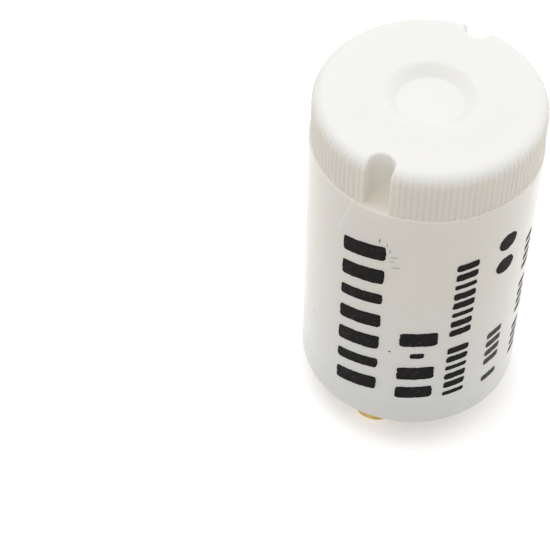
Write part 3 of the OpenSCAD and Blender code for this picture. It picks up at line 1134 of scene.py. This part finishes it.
@dataclass
class PrintedRows:
    """Rows of plain printed shapes on the barrel, as a thin film of ink."""

    skin_r: float = SIZES.barrel_r
    film: float = 0.009
    sunk: float = 0.02
    ragged: float = 0.07
    cell: float = 0.16
    thread: float = 0.12
    ink: PadInk = PadInk()
    pale_ink: PadInk = PadInk(
        name="ink_pad_printed_thin", ink="#4A4545", thin="#777170")

    def outline(self, patch: Patch, x: float, y: float, phase: float) -> Vector:
        """Turn a place on a square from -1 to 1 into one on the rounded patch.

        Args:
            patch: the patch.
            x: across the square.
            y: up the square.
            phase: where the ragged edge's pattern starts.

        Returns:
            The place on the flat print, in millimetres.
        """
        half = Vector((patch.width / 2, patch.height / 2))
        px, py = x * half.x, y * half.y
        corner = min(half.x, half.y)
        if patch.kind is Mark.BAR:
            corner = min(patch.round_r, corner)
        qx = max(abs(px) - (half.x - corner), 0.0)
        qy = max(abs(py) - (half.y - corner), 0.0)
        length = math.hypot(qx, qy)
        if qx > 0 and qy > 0:
            share = max(qx, qy) / length
            px = math.copysign(half.x - corner + qx * share, px)
            py = math.copysign(half.y - corner + qy * share, py)
        edge = max(abs(x), abs(y))
        if edge > 0.999:
            wobble = noise.noise(Vector((px * 3.1, py * 3.1, phase)))
            wobble += 0.6 * noise.noise(Vector((px * 9.0, py * 9.0, phase + 7)))
            reach = math.hypot(px, py) or 1.0
            grow = 1 + self.ragged * wobble / reach
            px, py = px * grow, py * grow
        return Vector((patch.across + px, patch.up + py + patch.slant * px, 0.0))

    def add_patch(self, bm: bmesh.types.BMesh, patch: Patch, phase: float) -> None:
        """Add one flat patch to the row's mesh.

        Args:
            bm: the row's mesh, flat so far.
            patch: the patch.
            phase: where the ragged edge's pattern starts.
        """
        cells_x = max(4, round(patch.width / self.cell))
        cells_y = max(4, round(patch.height / self.cell))
        if min(patch.width, patch.height) < self.thread:
            cells_x, cells_y = max(2, min(cells_x, 12)), max(2, min(cells_y, 12))
        grid = bmesh.ops.create_grid(bm, x_segments=cells_x, y_segments=cells_y, size=1.0)
        for vert in grid["verts"]:
            vert.co = self.outline(patch, vert.co.x, vert.co.y, phase)

    def build_row(self, name: str, patches: list[Patch], material: bpy.types.Material
                  ) -> bpy.types.Object:
        """Build one row of print and wrap it onto the barrel.

        Args:
            name: the piece's name.
            patches: its shapes; across counts from the azimuth of the +X side.
            material: its ink.

        Returns:
            The finished piece.
        """
        bm = bmesh.new()
        for number, patch in enumerate(patches):
            self.add_patch(bm, patch, number * 13.7)
        bmesh.ops.recalc_face_normals(bm, faces=bm.faces)
        flat = list(bm.faces)
        made = bmesh.ops.extrude_face_region(bm, geom=flat)["geom"]
        for vert in [v for v in made if isinstance(v, bmesh.types.BMVert)]:
            vert.co.z = self.film + self.sunk
        for vert in bm.verts:
            angle = vert.co.x / self.skin_r
            radius = self.skin_r - self.sunk + vert.co.z
            vert.co = Vector((radius * math.cos(angle), radius * math.sin(angle), vert.co.y))
        bmesh.ops.recalc_face_normals(bm, faces=bm.faces)
        piece = new_piece(name, bm, [material])
        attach(piece, BODY)
        return piece

    def arc_mm(self, azimuth_deg: float) -> float:
        """Give the distance round the barrel of an azimuth from +X."""
        return math.radians(azimuth_deg) * self.skin_r

    def blocks(self, azimuth_deg: float, wide: float, slant: float,
               spans: tuple[tuple[float, float], ...]) -> list[Patch]:
        """Lay out a row of plain blocks, one above the other.

        Args:
            azimuth_deg: where the row's middle lies, from +X.
            wide: the blocks' length round the barrel.
            slant: how much a block climbs along its length.
            spans: for each block, the height of its middle and its thickness.

        Returns:
            The row's patches.
        """
        middle = self.arc_mm(azimuth_deg)
        return [Patch(Mark.BAR, middle, up, wide, tall, slant, min(0.35, tall * 0.3))
                for up, tall in spans]

    def whiskers(self) -> list[Patch]:
        """Lay out the hair-thin threads of ink that the pad drew beside the bold row.

        Returns:
            The threads' patches.
        """
        middle = self.arc_mm(-93.8)
        return [Patch(Mark.BAR, middle + across, up, wide, tall, 0.2, 0.02)
                for across, up, wide, tall in ((2.5, 27.9, 0.05, 0.5), (2.9, 27.2, 0.7, 0.05),
                                               (2.2, 28.6, 0.05, 0.4), (3.1, 25.9, 0.8, 0.04),
                                               (2.7, 26.6, 0.4, 0.05), (1.5, 28.9, 0.05, 0.45))]

    def build(self) -> list[bpy.types.Object]:
        """Build every row of the print.

        Returns:
            The rows' pieces.
        """
        ink, pale = self.ink.material(), self.pale_ink.material()
        bold = self.blocks(-93.8, 4.3, 0.2, (
            (8.4, 1.85), (11.45, 1.4), (14.5, 1.9), (17.65, 1.8), (20.75, 1.4),
            (23.8, 1.9), (26.95, 1.85)))
        second = self.blocks(-62.2, 3.5, 0.08, ((8.3, 1.7), (11.2, 1.85), (16.2, 1.9)))
        second.append(Patch(Mark.BAR, self.arc_mm(-62.2), 13.85, 1.3, 0.75, 0.08, 0.2))
        second.append(Patch(Mark.DOT, self.arc_mm(-76.2), 14.1, 0.2, 0.2))
        third = self.blocks(-41.0, 2.1, 0.12, tuple(
            (7.75 + i * 1.3, 0.9 if i % 3 else 0.6) for i in range(15) if i != 6))
        sign = [Patch(Mark.DOT, self.arc_mm(-18.0), up, 2.2, 2.0) for up in (23.7, 26.8)]
        fourth = self.blocks(-18.2, 1.9, 0.12, tuple(
            (7.6 + i * 1.3, 0.85) for i in range(6) if i != 1))
        fifth = self.blocks(4.5, 1.5, 0.1, tuple(
            (7.7 + i * 1.25, 0.75) for i in range(14) if i not in (4, 9)))
        rows = (("print_bold", bold + self.whiskers(), ink), ("print_second", second, ink),
                ("print_third", third, ink), ("print_sign", sign, ink),
                ("print_fourth", fourth, pale), ("print_fifth", fifth, pale))
        return [self.build_row(*row) for row in rows]


# Base disc

@dataclass
class BaseDisc:
    """The phenolic base disc, punched, with a torn vent hole in its middle."""

    edge_r: float = 9.95
    vent_r: float = 1.5
    shank_r: float = 1.03
    edge_round: float = 0.08
    stand_in: float = 0.14
    board: PhenolicPaper = PhenolicPaper()
    punched: CutPaper = CutPaper()

    def build(self) -> bpy.types.Object:
        """Build and dress the disc.

        Returns:
            The finished piece.
        """
        bm = bmesh.new()
        for radius, y, segments in ((self.edge_r, 0.0, 192), (self.vent_r, 0.0, 120),
                                    (self.shank_r, SIZES.pin_y, 48),
                                    (self.shank_r, -SIZES.pin_y, 48)):
            bmesh.ops.create_circle(bm, segments=segments, radius=radius,
                                    matrix=Matrix.Translation((0, y, SIZES.disc_z)))
        bmesh.ops.triangle_fill(bm, edges=bm.edges, use_beauty=True)
        made = bmesh.ops.extrude_face_region(bm, geom=list(bm.faces))["geom"]
        bmesh.ops.translate(bm, vec=(0, 0, SIZES.disc_top - SIZES.disc_z),
                            verts=[v for v in made if isinstance(v, bmesh.types.BMVert)])
        bmesh.ops.recalc_face_normals(bm, faces=bm.faces)
        rim = [e for e in bm.edges if all(v.co.xy.length > self.edge_r - 0.01 for v in e.verts)
               and abs(e.verts[0].co.z - e.verts[1].co.z) < 0.01]
        bmesh.ops.bevel(bm, geom=rim, offset=self.edge_round, segments=2, profile=0.5,
                        affect="EDGES", material=-1)
        wall = [e for e in bm.edges if all(v.co.xy.length < self.vent_r + 0.01 for v in e.verts)
                and abs(e.verts[0].co.z - e.verts[1].co.z) > 0.5]
        bmesh.ops.subdivide_edges(bm, edges=wall, cuts=7, use_grid_fill=True)
        for vert in bm.verts:
            reach = vert.co.xy.length
            if reach < self.vent_r + 0.01:
                # torn layers stand in by different amounts, most at the far face
                share = (vert.co.z - SIZES.disc_z) / (SIZES.disc_top - SIZES.disc_z)
                tear = 0.5 * noise.noise(Vector((vert.co.x * 2.2, vert.co.y * 2.2, share * 5)))
                tear += 0.35 * noise.noise(Vector((vert.co.x * 7, vert.co.y * 7, share * 14)))
                new = self.vent_r + 0.04 + self.stand_in * (tear - share)
                vert.co.xy = vert.co.xy * (new / reach)
        for face in bm.faces:
            inside = face.calc_center_median().xy.length < self.vent_r + 0.2
            face.material_index = 1 if inside and abs(face.normal.z) < 0.7 else 0
        piece = new_piece("base_board", bm, [self.board.material(), self.punched.material()])
        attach(piece, BODY)
        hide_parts("base_disc")
        return piece


# Contact pins

@dataclass
class ContactPins:
    """The two turned contact pins, with broken edges and fine tool steps."""

    head_r: float = 2.4
    face_r: float = 2.05
    chamfer_h: float = 0.35
    head_h: float = 1.9
    neck_r: float = 1.4
    cone_out: float = 0.2
    cone_h: float = 1.0
    line: float = 0.03
    collar_out: float = 0.1
    collar_h: float = 0.8
    shank_r: float = 1.0
    rivet_r: float = 1.7
    rivet_h: float = 0.8
    bore_r: float = 0.65
    bore_deep: float = 1.5
    edge_break: float = 0.04
    sharp_deg: float = 28.0
    smooth_deg: float = 15.0
    steps: int = 96
    finish: TurnedBrass = TurnedBrass()

    def profile(self) -> list[tuple[float, float]]:
        """Give the pin's half section, from the end face's middle to the bore.

        Returns:
            Radius and height of each point.
        """
        low, high, inner = self.head_h, SIZES.disc_z, SIZES.disc_top
        points = [(0.0, 0.0), (self.face_r, 0.0), (self.head_r, self.chamfer_h),
                  (self.head_r, low - 0.05), (self.head_r - 0.05, low),
                  (self.neck_r + self.cone_out, low), (self.neck_r, low + self.cone_h)]
        for line_z in (low + 1.33, low + 1.75):
            points += [(self.neck_r, line_z - self.line), (self.neck_r - self.line, line_z),
                       (self.neck_r, line_z + self.line)]
        points += [(self.neck_r, high - self.collar_h),
                   (self.neck_r + self.collar_out, high - self.collar_h),
                   (self.neck_r + self.collar_out, high), (self.shank_r, high),
                   (self.shank_r, inner), (self.rivet_r, inner),
                   (self.rivet_r, inner + self.rivet_h / 2),
                   (2 * self.bore_r, inner + self.rivet_h),
                   (self.bore_r, inner + self.rivet_h),
                   (self.bore_r, inner - self.bore_deep), (0.0, inner - self.bore_deep)]
        return points

    def build(self) -> list[bpy.types.Object]:
        """Build and dress both pins.

        Returns:
            The finished pieces.
        """
        material = self.finish.material()
        pieces = []
        for letter, side in (("a", -1), ("b", 1)):
            bm = bmesh.new()
            verts = [bm.verts.new((r, 0.0, z)) for r, z in self.profile()]
            edges = [bm.edges.new(pair) for pair in zip(verts, verts[1:])]
            bmesh.ops.spin(bm, geom=verts + edges, cent=(0, 0, 0), axis=(0, 0, 1),
                           angle=math.tau, steps=self.steps, use_merge=True)
            bmesh.ops.remove_doubles(bm, verts=bm.verts, dist=1e-4)
            bmesh.ops.recalc_face_normals(bm, faces=bm.faces)
            sharp = [e for e in bm.edges if len(e.link_faces) == 2
                     and e.calc_face_angle() > math.radians(self.sharp_deg)
                     and e.verts[0].co.xy.length > self.neck_r + 0.15
                     and e.verts[0].co.z < SIZES.disc_z]
            bmesh.ops.bevel(bm, geom=sharp, offset=self.edge_break, segments=1, profile=0.5,
                            affect="EDGES", material=-1)
            bmesh.ops.translate(bm, vec=(0, side * SIZES.pin_y, 0), verts=bm.verts)
            piece = new_piece(f"turned_pin_{letter}", bm, [material], self.smooth_deg)
            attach(piece, BODY)
            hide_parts(f"contact_pin_{letter}")
            pieces.append(piece)
        return pieces


# Works inside

@dataclass
class Works:
    """The works inside, which keep their solids and get their finishes."""

    solder: InnerMetal = InnerMetal(
        name="solder_soft", metal="#CFCFD0", oxide="#8F9092", grain_mm=0.15, rough=0.35)
    wire: InnerMetal = InnerMetal(
        name="copper_wire_tinned", metal="#D8D8D6", oxide="#A6A6A2", grain_mm=0.06, rough=0.25)
    strip: InnerMetal = InnerMetal(
        name="nickel_strip_rolled", metal="#B5B2AB", oxide="#807C75", grain_mm=0.05, rough=0.32)
    wrap: FilmWrap = FilmWrap()
    glass: BlownGlass = BlownGlass()

    def dress(self) -> None:
        """Give every kept solid its material."""
        plan = ((self.solder, ("solder_joint_a", "solder_joint_b")),
                (self.wire, ("capacitor_lead_a", "capacitor_lead_b",
                             "lamp_lead_a", "lamp_lead_b")),
                (self.strip, ("fixed_electrode", "bimetal_strip")),
                (self.wrap, ("capacitor_body",)), (self.glass, ("lamp_glass",)))
        for finish, nodes in plan:
            material = finish.material()
            for name in nodes:
                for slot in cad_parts[name].material_slots:
                    slot.material = material
                log.info("%s: %s", name, finish.name)


# Studio

@dataclass(frozen=True)
class SoftBox:
    """A square lamp with plain white light: its place and side in metres."""

    name: str
    place: tuple[float, float, float]
    side: float
    watts: float


@dataclass
class Studio:
    """A pale floor, soft light from above, and the camera of the picture."""

    camera_mm: tuple[float, float, float] = (44.235, -109.485, 151.334)
    camera_deg: tuple[float, float, float] = (40.2697, -0.4444, 28.9984)
    lens_mm: float = 123.348
    horizon: str = "#FFF8F1"
    white: str = "#FFFFFF"
    floor_dim: str = "#CCCCCB"
    floor_pale: str = "#F6F6F5"
    floor_glow: float = 0.4
    floor_mm: float = 2500.0
    side_level: float = 0.42
    top_level: float = 0.95
    aim_mm: tuple[float, float, float] = (0.0, 0.0, 20.0)
    boxes: tuple[SoftBox, ...] = (
        SoftBox("soft_box_top", (-0.24, 0.03, 0.52), 0.45, 0.8),
        SoftBox("soft_box_side", (0.22, 0.26, 0.2), 0.3, 0.22))

    def background_ray(self, tree: bpy.types.NodeTree) -> bpy.types.NodeSocket:
        """Tell the rays that meet the white background from those that light the room.

        Args:
            tree: the floor's or the world's tree.

        Returns:
            1 for a ray from the camera, from a gloss or through glass, else 0.
        """
        ray = add_node(tree, "ShaderNodeLightPath")
        seen = ray.outputs["Is Camera Ray"]
        for kind in ("Is Glossy Ray", "Is Transmission Ray"):
            seen = add_node(tree, "ShaderNodeMath", {0: seen, 1: ray.outputs[kind]},
                            operation="MAXIMUM").outputs[0]
        return seen

    def floor(self) -> bpy.types.Object:
        """Lay the floor: pale grey, but white to the camera and in reflections.

        Returns:
            The floor.
        """
        material = bpy.data.materials.new("studio_floor")
        material.use_nodes = True
        tree = material.node_tree
        tree.nodes.clear()
        seen = self.background_ray(tree)
        dim = add_node(tree, "ShaderNodeBsdfDiffuse", {"Color": linear(self.floor_dim)})
        pale = add_node(tree, "ShaderNodeBsdfDiffuse", {"Color": linear(self.floor_pale)})
        glow = add_node(tree, "ShaderNodeEmission", {
            "Color": linear(self.white), "Strength": self.floor_glow})
        lit = add_node(tree, "ShaderNodeAddShader", {0: pale.outputs[0], 1: glow.outputs[0]})
        mix = add_node(tree, "ShaderNodeMixShader", {
            0: seen, 1: dim.outputs[0], 2: lit.outputs[0]})
        add_node(tree, "ShaderNodeOutputMaterial", {"Surface": mix.outputs[0]})
        bm = bmesh.new()
        bmesh.ops.create_circle(bm, cap_ends=True, segments=64, radius=self.floor_mm)
        floor = new_piece("studio_floor", bm, [material])
        return floor

    def world(self) -> None:
        """Light the room evenly, brighter overhead, and white where it is seen."""
        world = bpy.data.worlds.new("studio")
        bpy.context.scene.world = world
        world.use_nodes = True
        tree = world.node_tree
        tree.nodes.clear()
        place = add_node(tree, "ShaderNodeTexCoord").outputs["Generated"]
        up = add_node(tree, "ShaderNodeSeparateXYZ", {0: place}).outputs["Z"]
        level = add_node(tree, "ShaderNodeMapRange", {
            "Value": up, "To Min": self.side_level, "To Max": self.top_level}).outputs[0]
        ray = self.background_ray(tree)
        level = add_node(tree, "ShaderNodeMix", {0: ray, 2: level, 3: 1.0}).outputs[0]
        tint = add_node(tree, "ShaderNodeMix", {
            0: up, 6: linear(self.horizon), 7: linear(self.white)}, data_type="RGBA").outputs[2]
        tint = add_node(tree, "ShaderNodeMix", {
            0: ray, 6: tint, 7: linear(self.white)}, data_type="RGBA").outputs[2]
        back = add_node(tree, "ShaderNodeBackground", {"Color": tint, "Strength": level})
        add_node(tree, "ShaderNodeOutputWorld", {"Surface": back.outputs[0]})

    def lamp(self, box: SoftBox) -> None:
        """Hang one soft box, facing the middle of the starter.

        Args:
            box: the lamp.
        """
        light = bpy.data.lights.new(box.name, "AREA")
        light.shape, light.size, light.energy = "SQUARE", box.side, box.watts
        lamp = bpy.data.objects.new(box.name, light)
        lamp.location = box.place
        aim = Vector(self.aim_mm) * MM - Vector(box.place)
        lamp.rotation_euler = aim.to_track_quat("-Z", "Y").to_euler()
        bpy.context.scene.collection.objects.link(lamp)

    def camera(self) -> None:
        """Set the camera up as the photograph was taken."""
        data = bpy.data.cameras.new("camera")
        data.lens, data.sensor_width, data.clip_start = self.lens_mm, 36.0, 0.005
        camera = bpy.data.objects.new("camera", data)
        camera.location = Vector(self.camera_mm) * MM
        camera.rotation_euler = Euler([math.radians(a) for a in self.camera_deg])
        bpy.context.scene.collection.objects.link(camera)
        bpy.context.scene.camera = camera

    def build(self) -> None:
        """Set up floor, world, lamps, camera and the view's colours."""
        self.floor()
        self.world()
        for box in self.boxes:
            self.lamp(box)
        self.camera()
        bpy.context.scene.view_settings.view_transform = "Standard"


def main() -> None:
    """Build the starter and its studio."""
    logging.basicConfig(level=logging.INFO, format="%(name)s: %(message)s")
    Studio().build()
    Canister().build()
    PrintedRows().build()
    BaseDisc().build()
    ContactPins().build()
    Works().dress()


if __name__ == "__main__":
    main()
